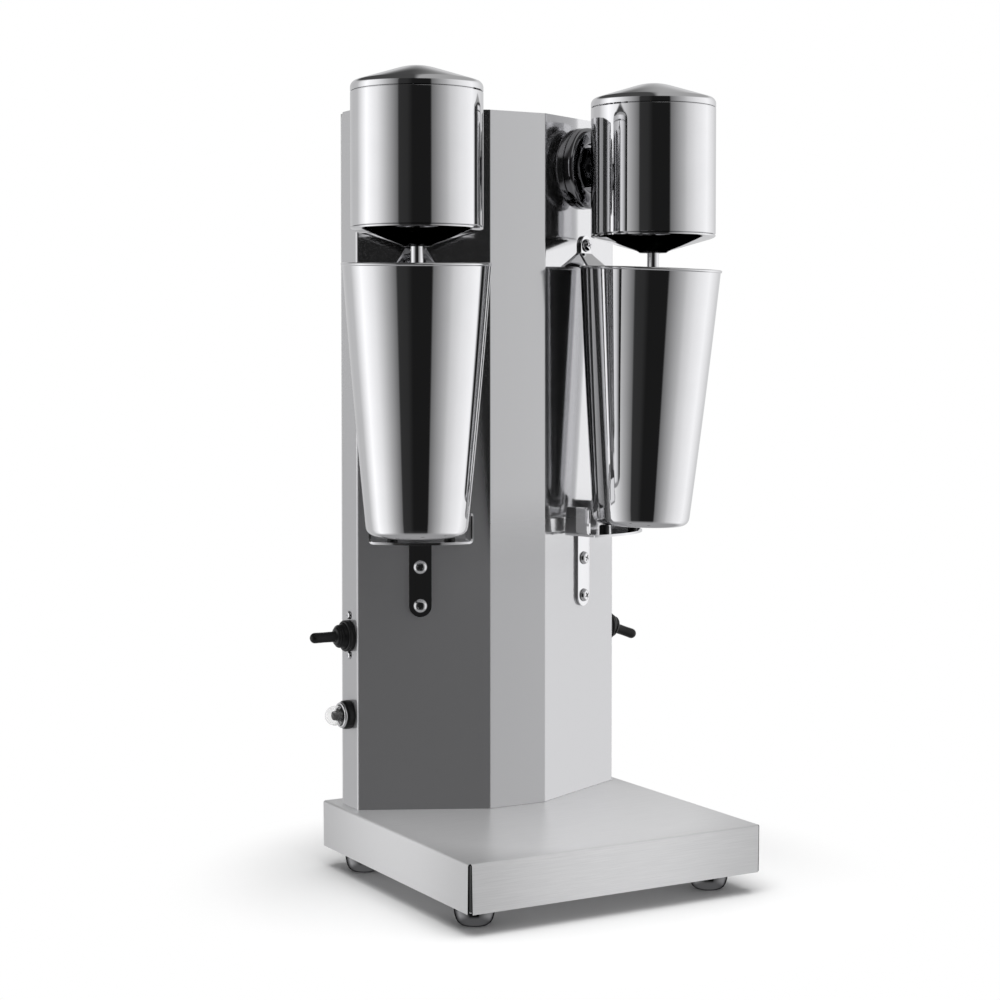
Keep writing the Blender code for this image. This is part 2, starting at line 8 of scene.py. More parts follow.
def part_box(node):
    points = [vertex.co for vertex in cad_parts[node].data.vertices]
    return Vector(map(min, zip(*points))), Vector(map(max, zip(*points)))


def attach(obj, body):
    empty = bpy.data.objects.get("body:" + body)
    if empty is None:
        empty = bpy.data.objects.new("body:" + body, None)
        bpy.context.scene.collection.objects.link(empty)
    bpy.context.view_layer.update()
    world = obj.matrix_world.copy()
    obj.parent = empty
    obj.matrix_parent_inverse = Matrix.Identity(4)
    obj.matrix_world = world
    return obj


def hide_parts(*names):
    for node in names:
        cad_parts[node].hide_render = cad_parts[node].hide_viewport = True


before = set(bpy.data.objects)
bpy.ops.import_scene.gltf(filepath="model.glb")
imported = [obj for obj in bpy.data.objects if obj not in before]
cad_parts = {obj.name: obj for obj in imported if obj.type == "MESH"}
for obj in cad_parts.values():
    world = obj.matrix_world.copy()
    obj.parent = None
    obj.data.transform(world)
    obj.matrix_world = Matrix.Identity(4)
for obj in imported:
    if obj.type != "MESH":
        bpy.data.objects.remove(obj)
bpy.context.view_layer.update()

# Camera
# About 30 degrees to the left of the front and almost level. A small tilt and a small shift of
# the lens together frame the object as in the photograph and keep its uprights upright.
camera_data = bpy.data.cameras.new("camera")
camera_data.sensor_width = 36
camera_data.lens = 75.341
camera_data.shift_y = -0.07
camera = bpy.data.objects.new("camera", camera_data)
camera.location = (-0.69945, -1.18115, 0.34829)
camera.rotation_euler = (radians(87.865), 0, radians(-29.646))
bpy.context.scene.collection.objects.link(camera)
bpy.context.scene.camera = camera
bpy.context.scene.view_settings.view_transform = "Standard"

# Studio
# A white floor and white surroundings for the camera. Reflections see a pale room that
# is dark behind the camera, with tall soft lights on both sides.
floor_mesh = bpy.data.meshes.new("floor")
floor_mesh.from_pydata([(-4, -4, 0), (4, -4, 0), (4, 4, 0), (-4, 4, 0)], [], [(0, 1, 2, 3)])
floor = bpy.data.objects.new("floor", floor_mesh)
bpy.context.scene.collection.objects.link(floor)
floor_material = bpy.data.materials.new("floor")
floor_material.use_nodes = True
floor_shader = floor_material.node_tree.nodes["Principled BSDF"]
floor_shader.inputs["Roughness"].default_value = 0.9
floor_shader.inputs["Specular IOR Level"].default_value = 0.0
nodes = floor_material.node_tree.nodes
links = floor_material.node_tree.links
place = nodes.new("ShaderNodeTexCoord")
reach = nodes.new("ShaderNodeVectorMath")
reach.operation = "LENGTH"
far = nodes.new("ShaderNodeMapRange")
far.interpolation_type = "SMOOTHSTEP"
far.inputs["From Min"].default_value = 0.165
far.inputs["From Max"].default_value = 0.25
plain = nodes.new("ShaderNodeEmission")
fade = nodes.new("ShaderNodeMixShader")
# Painted shadow: ambient occlusion darkens the floor's colour near the object, on top of the lamp's
# own shadow.
corner = nodes.new("ShaderNodeAmbientOcclusion")
corner.inputs["Distance"].default_value = 0.08
painted_shadow_tint = nodes.new("ShaderNodeValToRGB")
painted_shadow_tint.color_ramp.elements[0].color = (0.60, 0.60, 0.60, 1)
painted_shadow_tint.color_ramp.elements[1].position = 0.9
painted_shadow_tint.color_ramp.elements[1].color = (0.98, 0.98, 0.98, 1)
links.new(corner.outputs["AO"], painted_shadow_tint.inputs[0])
links.new(painted_shadow_tint.outputs[0], floor_shader.inputs["Base Color"])
links.new(place.outputs["Object"], reach.inputs[0])
links.new(reach.outputs["Value"], far.inputs["Value"])
links.new(far.outputs[0], fade.inputs[0])
links.new(floor_shader.outputs[0], fade.inputs[1])
links.new(plain.outputs[0], fade.inputs[2])
links.new(fade.outputs[0], nodes["Material Output"].inputs["Surface"])
floor_mesh.materials.append(floor_material)
floor.visible_glossy = False

world = bpy.data.worlds.new("studio")
bpy.context.scene.world = world
world.use_nodes = True
nodes = world.node_tree.nodes
links = world.node_tree.links
nodes.clear()
output = nodes.new("ShaderNodeOutputWorld")
mix = nodes.new("ShaderNodeMixShader")
white = nodes.new("ShaderNodeBackground")
white.inputs["Color"].default_value = (1, 1, 1, 1)
path = nodes.new("ShaderNodeLightPath")
seen = nodes.new("ShaderNodeMath")
seen.operation = "MAXIMUM"
ray = nodes.new("ShaderNodeTexCoord")
to_camera = nodes.new("ShaderNodeVectorMath")
to_camera.operation = "DOT_PRODUCT"
to_camera.inputs[1].default_value = (-0.4926, -0.8702, 0)
to_right = nodes.new("ShaderNodeVectorMath")
to_right.operation = "DOT_PRODUCT"
to_right.inputs[1].default_value = (0.8702, -0.4926, 0)
bearing = nodes.new("ShaderNodeMath")
bearing.operation = "ARCTAN2"
share = nodes.new("ShaderNodeMapRange")
share.inputs["From Min"].default_value = -pi
share.inputs["From Max"].default_value = pi
walls = nodes.new("ShaderNodeValToRGB")
walls.color_ramp.elements.remove(walls.color_ramp.elements[0])
for degrees, level in ((-180, 0.62), (-150, 0.58), (-140, 0.55), (-122, 0.58), (-95, 1.25),
                       (-70, 0.92), (-48, 0.46), (-31, 0.17), (-29, 0.035), (-14, 0.030),
                       (-5, 0.012), (26, 0.012), (28, 0.18), (54, 0.52), (62, 0.68),
                       (82, 0.90), (112, 1.10), (150, 0.70)):
    stop = walls.color_ramp.elements.new((degrees + 180) / 360)
    stop.color = (level, level, level * 1.01, 1)
walls.color_ramp.elements[-1].position = 1.0
walls.color_ramp.elements[-1].color = (0.62, 0.62, 0.626, 1)
height = nodes.new("ShaderNodeSeparateXYZ")
above = nodes.new("ShaderNodeMapRange")
above.interpolation_type = "SMOOTHSTEP"
above.inputs["From Min"].default_value = 0.36
above.inputs["From Max"].default_value = 0.52
overhead = nodes.new("ShaderNodeMapRange")
overhead.interpolation_type = "SMOOTHSTEP"
overhead.inputs["From Min"].default_value = -0.06
overhead.inputs["From Max"].default_value = 0.11
overhead.inputs["To Min"].default_value = 0.07
overhead.inputs["To Max"].default_value = 0.42
ceiling = nodes.new("ShaderNodeMix")
ceiling.data_type = "RGBA"
below = nodes.new("ShaderNodeMapRange")
below.interpolation_type = "SMOOTHSTEP"
below.inputs["From Min"].default_value = -0.45
below.inputs["From Max"].default_value = -0.70
ground = nodes.new("ShaderNodeMix")
ground.data_type = "RGBA"
ground.inputs["B"].default_value = (0.35, 0.35, 0.355, 1)
room = nodes.new("ShaderNodeBackground")
links.new(ray.outputs["Generated"], to_camera.inputs[0])
links.new(ray.outputs["Generated"], to_right.inputs[0])
links.new(ray.outputs["Generated"], height.inputs[0])
links.new(to_right.outputs["Value"], bearing.inputs[0])
links.new(to_camera.outputs["Value"], bearing.inputs[1])
links.new(bearing.outputs[0], share.inputs["Value"])
links.new(share.outputs[0], walls.inputs[0])
links.new(height.outputs["Z"], above.inputs["Value"])
links.new(above.outputs[0], ceiling.inputs["Factor"])
links.new(walls.outputs[0], ceiling.inputs["A"])
links.new(to_right.outputs["Value"], overhead.inputs["Value"])
links.new(overhead.outputs[0], ceiling.inputs["B"])
links.new(height.outputs["Z"], below.inputs["Value"])
links.new(below.outputs[0], ground.inputs["Factor"])
links.new(ceiling.outputs["Result"], ground.inputs["A"])
links.new(ground.outputs["Result"], room.inputs["Color"])
links.new(path.outputs["Is Camera Ray"], seen.inputs[0])
links.new(path.outputs["Is Transmission Ray"], seen.inputs[1])
links.new(seen.outputs[0], mix.inputs[0])
links.new(room.outputs[0], mix.inputs[1])
links.new(white.outputs[0], mix.inputs[2])
links.new(mix.outputs[0], output.inputs["Surface"])

light_data = bpy.data.lights.new("light_top", "AREA")
light_data.shape = "RECTANGLE"
light_data.size = 2.2
light_data.size_y = 2.2
light_data.energy = 60
light = bpy.data.objects.new("light_top", light_data)
light.location = (-0.3, -0.5, 2.4)
aim = Vector((0, 0, 0.2)) - Vector(light.location)
light.rotation_euler = aim.to_track_quat("-Z", "Y").to_euler()
light.visible_glossy = False
bpy.context.scene.collection.objects.link(light)

# Base
# A shallow pan folded from one brushed steel sheet, with a painted highlight: its colour is lighter
# in the middle and darker towards its corners. The skirts leave an open slit at each corner. A
# plate closes it from below, and both are painted near black inside, as painted shade.
brushed = bpy.data.materials.new("brushed_steel")
brushed.use_nodes = True
nodes = brushed.node_tree.nodes
links = brushed.node_tree.links
shader = nodes["Principled BSDF"]
coords = nodes.new("ShaderNodeTexCoord")
stretch = nodes.new("ShaderNodeMapping")
stretch.inputs["Scale"].default_value = (12, 900, 900)
grain = nodes.new("ShaderNodeTexNoise")
grain.inputs["Scale"].default_value = 4.0
grain.inputs["Detail"].default_value = 4.0
tone = nodes.new("ShaderNodeValToRGB")
tone.color_ramp.elements[0].position = 0.3
tone.color_ramp.elements[0].color = (0.84, 0.84, 0.845, 1)
tone.color_ramp.elements[1].position = 0.7
tone.color_ramp.elements[1].color = (0.94, 0.94, 0.945, 1)
gloss = nodes.new("ShaderNodeMapRange")
gloss.inputs["To Min"].default_value = 0.28
gloss.inputs["To Max"].default_value = 0.40
bump = nodes.new("ShaderNodeBump")
bump.inputs["Strength"].default_value = 0.04
bump.inputs["Distance"].default_value = 0.0002
flat_place = nodes.new("ShaderNodeVectorMath")
flat_place.operation = "MULTIPLY"
flat_place.inputs[1].default_value = (1, 1, 0)
away = nodes.new("ShaderNodeVectorMath")
away.operation = "LENGTH"
# Painted highlight: the colour is lighter in the middle of the base and darker towards its corners.
painted_sheen_falloff = nodes.new("ShaderNodeMapRange")
painted_sheen_falloff.interpolation_type = "SMOOTHSTEP"
painted_sheen_falloff.inputs["From Min"].default_value = 0.095
painted_sheen_falloff.inputs["From Max"].default_value = 0.150
painted_sheen_falloff.inputs["To Min"].default_value = 1.0
painted_sheen_falloff.inputs["To Max"].default_value = 0.74
shade = nodes.new("ShaderNodeMix")
shade.data_type = "RGBA"
shade.blend_type = "MULTIPLY"
shade.inputs["Factor"].default_value = 1.0
links.new(coords.outputs["Object"], stretch.inputs["Vector"])
links.new(coords.outputs["Object"], flat_place.inputs[0])
links.new(flat_place.outputs[0], away.inputs[0])
links.new(away.outputs["Value"], painted_sheen_falloff.inputs["Value"])
links.new(stretch.outputs[0], grain.inputs["Vector"])
links.new(grain.outputs["Fac"], tone.inputs[0])
links.new(grain.outputs["Fac"], gloss.inputs["Value"])
links.new(grain.outputs["Fac"], bump.inputs["Height"])
links.new(tone.outputs[0], shade.inputs["A"])
links.new(painted_sheen_falloff.outputs[0], shade.inputs["B"])
links.new(shade.outputs["Result"], shader.inputs["Base Color"])
links.new(gloss.outputs[0], shader.inputs["Roughness"])
links.new(bump.outputs[0], shader.inputs["Normal"])
shader.inputs["Metallic"].default_value = 0.62


def made(bm, name, place, sharp, material):
    """An object from bm at its place, smooth but for edges of more than sharp degrees."""
    mesh = bpy.data.meshes.new(name)
    bm.to_mesh(mesh)
    bm.free()
    mesh.transform(place)
    mesh.shade_smooth()
    mesh.set_sharp_from_angle(angle=radians(sharp))
    if material:
        mesh.materials.append(material)
    item = bpy.data.objects.new(name, mesh)
    bpy.context.scene.collection.objects.link(item)
    return item


def coat(node, material):
    """Give a node of the model this material alone."""
    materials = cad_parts[node].data.materials
    materials.clear()
    materials.append(material)


half_width, half_depth = 0.107, 0.1035
base_top, base_bottom = 0.0445, 0.014
fold, sheet = 0.0016, 0.0012
slit_top, slit_bottom = 0.0002, 0.0007
bm = bmesh.new()
flat = []
for x, y in ((-1, -1), (1, -1), (1, 1), (-1, 1)):
    flat.append(bm.verts.new((x * (half_width - fold), y * (half_depth - fold), base_top)))
bm.faces.new(flat)
for i in range(4):
    start, stop = flat[i], flat[(i + 1) % 4]
    along = (stop.co - start.co).normalized()
    out = Vector((along.y, -along.x, 0))
    row = (start, stop)
    path_points = []
    for step in range(1, 7):
        turn = radians(15 * step)
        path_points.append((fold * sin(turn), -fold * (1 - cos(turn)), slit_top * step / 6))
    path_points.append((fold, base_bottom - base_top, slit_bottom))
    for reach, drop, taper in path_points:
        shift = out * reach + Vector((0, 0, drop))
        new_row = (bm.verts.new(start.co + shift + along * taper),
                   bm.verts.new(stop.co + shift - along * taper))
        bm.faces.new((row[0], new_row[0], new_row[1], row[1]))
        row = new_row
bmesh.ops.recalc_face_normals(bm, faces=bm.faces)
pan = made(bm, "base_pan_sheet", Matrix(), 30, brushed)
# Painted shade: the sheet's inner faces and cut edges are near black, for the shade inside the pan.
painted_dark_inside = bpy.data.materials.new("painted_dark_inside")
painted_dark_inside.use_nodes = True
shader = painted_dark_inside.node_tree.nodes["Principled BSDF"]
shader.inputs["Base Color"].default_value = (0.012, 0.012, 0.013, 1)
shader.inputs["Roughness"].default_value = 0.7
shader.inputs["Specular IOR Level"].default_value = 0.1
pan.data.materials.append(painted_dark_inside)
wall = pan.modifiers.new("sheet", "SOLIDIFY")
wall.thickness = sheet
wall.offset = -1
wall.material_offset = 1
wall.material_offset_rim = 1
pan.visible_glossy = False
pan.modifiers.new("flat_faces", "WEIGHTED_NORMAL").keep_sharp = True
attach(pan, "stand")
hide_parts("base_pan")
bottom_steel = brushed.copy()
bottom_steel.name = "bottom_steel"
nodes = bottom_steel.node_tree.nodes
links = bottom_steel.node_tree.links
# Painted shade: the plate's colour turns near black on its upper face, inside the pan, in place of
# the painted highlight; its underside keeps the brushed tone.
low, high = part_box("base_bottom_plate")
height = nodes.new("ShaderNodeSeparateXYZ")
inner = nodes.new("ShaderNodeMapRange")
inner.inputs["From Min"].default_value = low.z + 0.0002
inner.inputs["From Max"].default_value = low.z + 0.0005
inner.inputs["To Min"].default_value = 1.0
inner.inputs["To Max"].default_value = 0.03
links.new(nodes["Texture Coordinate"].outputs["Object"], height.inputs[0])
links.new(height.outputs["Z"], inner.inputs["Value"])
links.new(inner.outputs[0], nodes["Mix"].inputs["B"])
coat("base_bottom_plate", bottom_steel)
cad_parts["base_bottom_plate"].visible_glossy = False

# Feet
# Bell feet under the bottom plate, turned from solid steel. Their colour is a darker copy of the
# mirror finish: painted shade for the shadowed floor they reflect.
# The mirror finish made here is also used on the heads, cups and strips.
mirror = bpy.data.materials.new("mirror_steel")
mirror.use_nodes = True
nodes = mirror.node_tree.nodes
links = mirror.node_tree.links
shader = nodes["Principled BSDF"]
shader.inputs["Metallic"].default_value = 1.0
coords = nodes.new("ShaderNodeTexCoord")
smear = nodes.new("ShaderNodeTexNoise")
smear.inputs["Scale"].default_value = 45.0
smear.inputs["Detail"].default_value = 3.0
gloss = nodes.new("ShaderNodeMapRange")
gloss.inputs["To Min"].default_value = 0.02
gloss.inputs["To Max"].default_value = 0.07
tone = nodes.new("ShaderNodeValToRGB")
tone.color_ramp.elements[0].color = (0.78, 0.78, 0.79, 1)
tone.color_ramp.elements[1].color = (0.84, 0.84, 0.85, 1)
ripple = nodes.new("ShaderNodeTexNoise")
ripple.inputs["Scale"].default_value = 22.0
ripple.inputs["Detail"].default_value = 1.0
bump = nodes.new("ShaderNodeBump")
bump.inputs["Strength"].default_value = 0.05
bump.inputs["Distance"].default_value = 0.0006
links.new(coords.outputs["Object"], smear.inputs["Vector"])
links.new(coords.outputs["Object"], ripple.inputs["Vector"])
links.new(smear.outputs["Fac"], gloss.inputs["Value"])
links.new(smear.outputs["Fac"], tone.inputs[0])
links.new(ripple.outputs["Fac"], bump.inputs["Height"])
links.new(tone.outputs[0], shader.inputs["Base Color"])
links.new(gloss.outputs[0], shader.inputs["Roughness"])
links.new(bump.outputs[0], shader.inputs["Normal"])

# Painted shade: a darker copy of the mirror finish, with darkened grazing reflections, for the
# shadowed floor the feet reflect.
foot_steel = mirror.copy()
foot_steel.name = "foot_steel"
shades = foot_steel.node_tree.nodes["Color Ramp"].color_ramp.elements
shades[0].color = (0.17, 0.17, 0.175, 1)
shades[1].color = (0.26, 0.26, 0.265, 1)
shader = foot_steel.node_tree.nodes["Principled BSDF"]
shader.inputs["Specular Tint"].default_value = (0.04, 0.04, 0.04, 1)


def turned(profile, steps):
    """A mesh turned about Z from a profile of radii and heights, with nothing on the axis."""
    bm = bmesh.new()
    line = [bm.verts.new((radius, 0, z)) for radius, z in profile]
    pairs = [pair for pair in zip(line, line[1:]) if pair[0].co.x + pair[1].co.x > 0.00001]
    edges = [bm.edges.new(pair) for pair in pairs]
    bmesh.ops.spin(bm, geom=line + edges, cent=(0, 0, 0), axis=(0, 0, 1), angle=2 * pi,
                   steps=steps, use_merge=True)
    bmesh.ops.remove_doubles(bm, verts=bm.verts, dist=0.00001)
    bmesh.ops.recalc_face_normals(bm, faces=bm.faces)
    return bm


def spread(name, item, places, size, material):
    """One mesh with a copy of item at each place, made by Geometry Nodes."""
    tree = bpy.data.node_groups.new(name, "GeometryNodeTree")
    tree.interface.new_socket("Points", in_out="INPUT", socket_type="NodeSocketGeometry")
    given_names = []
    for title, kind, value in (("Item", "Object", item), ("Size", "Float", size),
                               ("Finish", "Material", material)):
        socket = tree.interface.new_socket(title, in_out="INPUT", socket_type="NodeSocket" + kind)
        given_names.append((socket.identifier, value))
    tree.interface.new_socket("Copies", in_out="OUTPUT", socket_type="NodeSocketGeometry")
    given = tree.nodes.new("NodeGroupInput")
    source = tree.nodes.new("GeometryNodeObjectInfo")
    turn = tree.nodes.new("GeometryNodeInputNamedAttribute")
    turn.data_type = "FLOAT_VECTOR"
    turn.inputs["Name"].default_value = "turn"
    rotation = tree.nodes.new("FunctionNodeEulerToRotation")
    instances = tree.nodes.new("GeometryNodeInstanceOnPoints")
    realize = tree.nodes.new("GeometryNodeRealizeInstances")
    paint = tree.nodes.new("GeometryNodeSetMaterial")
    result = tree.nodes.new("NodeGroupOutput")
    tree.links.new(given.outputs["Points"], instances.inputs["Points"])
    tree.links.new(given.outputs["Item"], source.inputs["Object"])
    tree.links.new(source.outputs["Geometry"], instances.inputs["Instance"])
    tree.links.new(turn.outputs["Attribute"], rotation.inputs["Euler"])
    tree.links.new(rotation.outputs["Rotation"], instances.inputs["Rotation"])
    tree.links.new(given.outputs["Size"], instances.inputs["Scale"])
    tree.links.new(instances.outputs["Instances"], realize.inputs["Geometry"])
    tree.links.new(realize.outputs["Geometry"], paint.inputs["Geometry"])
    tree.links.new(given.outputs["Finish"], paint.inputs["Material"])
    tree.links.new(paint.outputs["Geometry"], result.inputs["Copies"])
    points = bpy.data.meshes.new(name + "_points")
    points.from_pydata([matrix.translation for matrix in places], [], [])
    turns = points.attributes.new("turn", "FLOAT_VECTOR", "POINT")
    for value, matrix in zip(turns.data, places):
        value.vector = matrix.to_euler()
    copies = bpy.data.objects.new(name, points)
    bpy.context.scene.collection.objects.link(copies)
    modifier = copies.modifiers.new("copies", "NODES")
    modifier.node_group = tree
    for identifier, value in given_names:
        modifier[identifier] = value
    graph = bpy.context.evaluated_depsgraph_get()
    mesh = bpy.data.meshes.new_from_object(copies.evaluated_get(graph))
    copies.modifiers.clear()
    copies.data = mesh
    mesh.name = name
    return copies


bell = [(0, 0.0144), (0.0126, 0.0144), (0.0130, 0.0140), (0.0130, 0.0104), (0.0127, 0.0096),
        (0.0128, 0.0088), (0.0124, 0.0060), (0.0117, 0.0034), (0.0107, 0.0014), (0.0096, 0.0003),
        (0.0084, 0), (0, 0)]
one_foot = made(turned(bell, 72), "one_foot", Matrix(), 40, None)
names = ["foot_front_left", "foot_front_right", "foot_rear_left", "foot_rear_right"]
places = []
for name in names:
    low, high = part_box(name)
    places.append(Matrix.Translation(((low.x + high.x) / 2, (low.y + high.y) / 2, 0)))
feet = spread("bell_feet", one_foot, places, 1.0, foot_steel)
bpy.data.objects.remove(one_foot)
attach(feet, "stand")
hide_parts(*names)

# Column
# One steel sheet bent to a middle panel, two angled panels and two narrow sides, with flanges
# at the back. It is polished, with a faint upright grain, and duller below the cups.
satin = bpy.data.materials.new("column_steel")
satin.use_nodes = True
nodes = satin.node_tree.nodes
links = satin.node_tree.links
shader = nodes["Principled BSDF"]
shader.inputs["Metallic"].default_value = 1.0
haze = nodes.new("ShaderNodeBsdfPrincipled")
haze.inputs["Metallic"].default_value = 1.0
haze.inputs["Roughness"].default_value = 0.9
haze.inputs["Base Color"].default_value = (0.95, 0.95, 0.96, 1)
both = nodes.new("ShaderNodeMixShader")
place = nodes.new("ShaderNodeSeparateXYZ")
dull = nodes.new("ShaderNodeMapRange")
dull.interpolation_type = "SMOOTHSTEP"
dull.inputs["From Min"].default_value = 0.205
dull_top = nodes.new("ShaderNodeMapRange")
dull_top.inputs["From Min"].default_value = -0.030
dull_top.inputs["From Max"].default_value = -0.022
dull_top.inputs["To Min"].default_value = 0.420
dull_top.inputs["To Max"].default_value = 0.260
dull.inputs["To Min"].default_value = 0.46
dull.inputs["To Max"].default_value = 0.05
coords = nodes.new("ShaderNodeTexCoord")
stretch = nodes.new("ShaderNodeMapping")
stretch.inputs["Scale"].default_value = (800, 800, 6)
grain = nodes.new("ShaderNodeTexNoise")
grain.inputs["Scale"].default_value = 3.0
grain.inputs["Detail"].default_value = 4.0
gloss = nodes.new("ShaderNodeMapRange")
gloss.inputs["To Min"].default_value = 0.075
gloss.inputs["To Max"].default_value = 0.095
tone = nodes.new("ShaderNodeValToRGB")
tone.color_ramp.elements[0].color = (0.755, 0.755, 0.763, 1)
tone.color_ramp.elements[1].color = (0.785, 0.785, 0.793, 1)
links.new(coords.outputs["Object"], place.inputs[0])
links.new(place.outputs["X"], dull_top.inputs["Value"])
links.new(dull_top.outputs[0], dull.inputs["From Max"])
links.new(place.outputs["Z"], dull.inputs["Value"])
links.new(dull.outputs[0], both.inputs[0])
links.new(coords.outputs["Object"], stretch.inputs["Vector"])
links.new(stretch.outputs[0], grain.inputs["Vector"])
links.new(grain.outputs["Fac"], gloss.inputs["Value"])
links.new(grain.outputs["Fac"], tone.inputs[0])
links.new(tone.outputs[0], shader.inputs["Base Color"])
links.new(gloss.outputs[0], shader.inputs["Roughness"])
links.new(shader.outputs[0], both.inputs[1])
links.new(haze.outputs[0], both.inputs[2])
links.new(both.outputs[0], nodes["Material Output"].inputs["Surface"])

low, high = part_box("column_front_shell")
bend, ease = 0.0022, 0.0032
corners = [(-0.086, high.y), (-0.100, high.y), (-0.100, 0.0626), (-0.02125, low.y),
           (0.02125, low.y), (0.100, 0.0626), (0.100, high.y), (0.086, high.y)]
plan = [Vector(corners[0])]
for before, here, after in zip(corners, corners[1:], corners[2:]):
    here = Vector(here)
    one = (Vector(before) - here).normalized()
    two = (Vector(after) - here).normalized()
    half = one.angle(two) / 2
    centre = here + (one + two).normalized() * bend / sin(half)
    begin = here + one * bend / sin(half) * cos(half) - centre
    for step in range(6):
        swing = (pi - 2 * half) * step / 5
        if one.x * two.y - one.y * two.x > 0:
            swing = -swing
        plan.append(centre + Matrix.Rotation(swing, 2) @ begin)
plan.append(Vector(corners[-1]))
for side in (-1, 1):
    for step in range(1, 5):
        back = ease * (1 - sin(radians(18 * step)))
        point = Vector((side * 0.100, high.y - bend - 0.0001 - back))
        plan.insert(7 if side < 0 else len(plan) - 7, point)
bm = bmesh.new()
bottom = []
top = []
for point in plan:
    over = min(ease, max(0.0, point.y - (high.y - bend - ease)))
    drop = ease - sqrt(ease ** 2 - over ** 2)
    bottom.append(bm.verts.new((point.x, point.y, low.z)))
    top.append(bm.verts.new((point.x, point.y, high.z - drop)))
for k in range(len(plan) - 1):
    bm.faces.new((bottom[k], bottom[k + 1], top[k + 1], top[k]))
column = made(bm, "column_sheet", Matrix(), 180, satin)
wall = column.modifiers.new("sheet", "SOLIDIFY")
wall.thickness = sheet
wall.offset = -1
column.modifiers.new("flat_faces", "WEIGHTED_NORMAL").keep_sharp = True
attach(column, "stand")
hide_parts("column_front_shell")
for name in ("column_top_cap", "column_back_cover"):
    coat(name, brushed)

# Motor heads
# Each head is a drawn steel can with a domed cap above and a funnel below, mirror polished. It
# stands on a stub that passes through a stepped flange and is held by a hexagon nut.
sides = (("left", -1), ("right", 1))
spindle_reach, flange_height = 0.0545, 0.474


def panel_frame(hand):
    """The middle of an angled panel at floor level, with -Y straight out of the panel."""
    middle = Matrix.Translation((hand * 0.065285, 0.045408, 0))
    return middle @ Matrix.Rotation(hand * radians(26.345), 4, "Z")


def arc(bend, radius, z, angles):
    """Points of a profile on an arc of radius bend about (radius, z), at angles in degrees."""
    return [(radius + bend * cos(radians(a)), z + bend * sin(radians(a))) for a in angles]


skirt, apex, crown_bend = 0.5120, 0.5285, 0.042
shoulder = arc(0.0040, 0.0380, 0.5146, range(0, 76, 10))
crown = arc(crown_bend, 0, apex - crown_bend, range(73, 90, 2))
under = [(0, apex), (0, 0.5268), (0.0100, 0.5246), (0.0360, 0.5160), (0.0392, 0.5146),
         (0.0402, 0.5134), (0.0402, skirt)]
cap = [(0.0402, skirt), (0.0416, skirt), (0.0420, skirt + 0.0003), *shoulder, *crown, *under]
can = [(0.0406, 0.4272), (0.0416, 0.4272), (0.0420, 0.4276), (0.0420, 0.5112), (0.0416, 0.5117),
       (0.0406, 0.5117), (0.0406, 0.4272)]
funnel = [(0.0400, 0.4269), (0.0416, 0.4269), (0.0420, 0.4265), (0.0418, 0.4258), (0.0409, 0.4251),
          (0.0390, 0.4243), (0.0300, 0.4217), (0.0200, 0.4188), (0.0130, 0.4168), (0.0106, 0.4160),
          (0.0096, 0.4153), (0.0090, 0.4149), (0.0046, 0.4148), (0.0046, 0.4162), (0.0096, 0.4170),
          (0.0388, 0.4256), (0.0400, 0.4269)]
# Painted shade: the flanges, stubs and nuts get a darker copy of the mirror finish, for the dark
# underside of the head they reflect.
flange_steel = mirror.copy()
flange_steel.name = "flange_steel"
shades = flange_steel.node_tree.nodes["Color Ramp"].color_ramp.elements
shades[0].color = (0.30, 0.30, 0.31, 1)
shades[1].color = (0.38, 0.38, 0.39, 1)
flange = [(0.0106, 0.0036), (0.0106, 0.0003), (0.0274, 0.0003), (0.0278, 0.0007), (0.0278, 0.0038),
          (0.0276, 0.0050), (0.0270, 0.0062), (0.0258, 0.0071), (0.0245, 0.0075), (0.0180, 0.0075),
          (0.0172, 0.0072), (0.0166, 0.0064), (0.0164, 0.0040), (0.0158, 0.0036), (0.0106, 0.0036)]
stub = [(0.0070, -0.0100), (0.0100, -0.0100), (0.0100, 0.0139), (0.0070, 0.0139), (0.0070, -0.0100)]
for side, hand in sides:
    upright = panel_frame(hand) @ Matrix.Translation((0, -spindle_reach, 0))
    outward = panel_frame(hand) @ Matrix.Translation((0, 0, flange_height))
    outward = outward @ Matrix.Rotation(radians(90), 4, "X")
    for node, profile, place, steps in (("motor_cap", cap, upright, 160),
                                        ("motor_housing", can, upright, 160),
                                        ("motor_base", funnel, upright, 160),
                                        ("head_flange", flange, outward, 120),
                                        ("head_stub", stub, outward, 64)):
        finish = flange_steel if node.startswith("head") else mirror
        piece = made(turned(profile, steps), f"polished_{node}_{side}", place, 35, finish)
        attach(piece, "stand")
        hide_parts(f"{node}_{side}")
    coat(f"head_nut_{side}", flange_steel)

# Cups
# Deep-drawn steel beakers with a slightly bowed wall, a rolled rim and a hollowed bottom.
# They lean out at the top, because the rim hangs on the hook and the foot stands on the rest.
depth, lean = 0.1732, radians(2.4)
rim_reach, rim_height = 0.0526, 0.4048
outer = []
for k in range(25):
    s = 0.03 + 0.958 * k / 24
    outer.append((0.0324 + 0.0150 * s + 0.0020 * s * (1 - s), depth * s))
round_foot = arc(0.0052, 0.0276, 0.0052, range(-90, -4, 12))
roll = arc(0.0010, 0.0472, depth - 0.0010, range(-60, 200, 20))
inner = [(r - 0.0008, max(z, 0.0012)) for r, z in reversed(outer)]
cup_profile = [(0, 0.0010), (0.0220, 0.0010), (0.0240, 0.0003), *round_foot, *outer, *roll, *inner,
               (0.0290, 0.0022), (0.0240, 0.0014), (0, 0.0020)]
hung = [(r, z - depth) for r, z in cup_profile]
